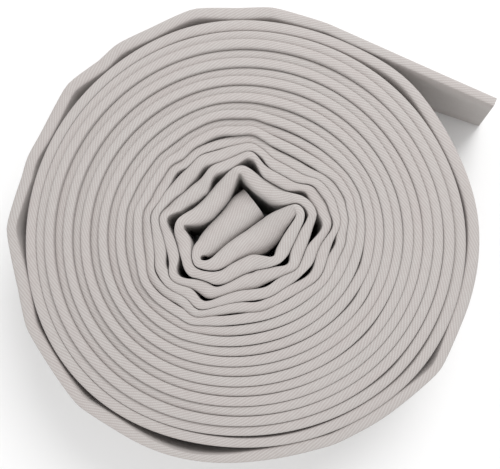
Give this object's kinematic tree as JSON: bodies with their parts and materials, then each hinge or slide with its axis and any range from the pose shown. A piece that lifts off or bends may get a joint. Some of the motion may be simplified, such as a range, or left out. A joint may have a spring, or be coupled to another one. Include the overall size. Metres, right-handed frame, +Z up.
{
  "type": "rolled fire hose",
  "caption": "Double-jacket lay-flat fire hose in a flat coil, with its outer end free to be bent away and its inner end doubled in the middle.",
  "frame": {"origin": "on the floor, under the middle of the bounding box of the roll and its free end", "axes": "+Z up along the axis the hose is rolled about; the hose runs clockwise seen from above as it goes outwards; the free end leaves near +Y and points towards +X"},
  "size_m": [0.461, 0.4242, 0.1129],
  "materials": {
    "outer_jacket": "undyed woven twill",
    "inner_jacket": "undyed plain weave",
    "rubber_lining": "smooth black"
  },
  "bodies": {
    "roll": {"roll_outer_jacket": "outer_jacket", "roll_inner_jacket": "inner_jacket", "roll_rubber_lining": "rubber_lining"},
    "outer_turn_1": {"outer_turn_1_outer_jacket": "outer_jacket", "outer_turn_1_inner_jacket": "inner_jacket", "outer_turn_1_rubber_lining": "rubber_lining"},
    "outer_turn_2": {"outer_turn_2_outer_jacket": "outer_jacket", "outer_turn_2_inner_jacket": "inner_jacket", "outer_turn_2_rubber_lining": "rubber_lining"},
    "tail_root": {"tail_root_outer_jacket": "outer_jacket", "tail_root_inner_jacket": "inner_jacket", "tail_root_rubber_lining": "rubber_lining"},
    "tail_tip": {"tail_tip_outer_jacket": "outer_jacket", "tail_tip_inner_jacket": "inner_jacket", "tail_tip_rubber_lining": "rubber_lining"}
  },
  "joints": [
    {"name": "crease_1", "type": "hinge", "parent": "roll", "child": "outer_turn_1", "pos_m": [-0.17812, 0.13627, 0], "axis": [0, 0, 1], "range_deg": [0, 50]},
    {"name": "crease_2", "type": "hinge", "parent": "outer_turn_1", "child": "outer_turn_2", "pos_m": [-0.05759, 0.21062, 0], "axis": [0, 0, 1], "range_deg": [0, 50]},
    {"name": "crease_3", "type": "hinge", "parent": "outer_turn_2", "child": "tail_root", "pos_m": [0.01808, 0.21208, 0], "axis": [0, 0, 1], "range_deg": [0, 50]},
    {"name": "tail_bend", "type": "hinge", "parent": "tail_root", "child": "tail_tip", "pos_m": [0.14372, 0.15489, 0], "axis": [0, 0, 1], "range_deg": [-20, 45]}
  ]
}
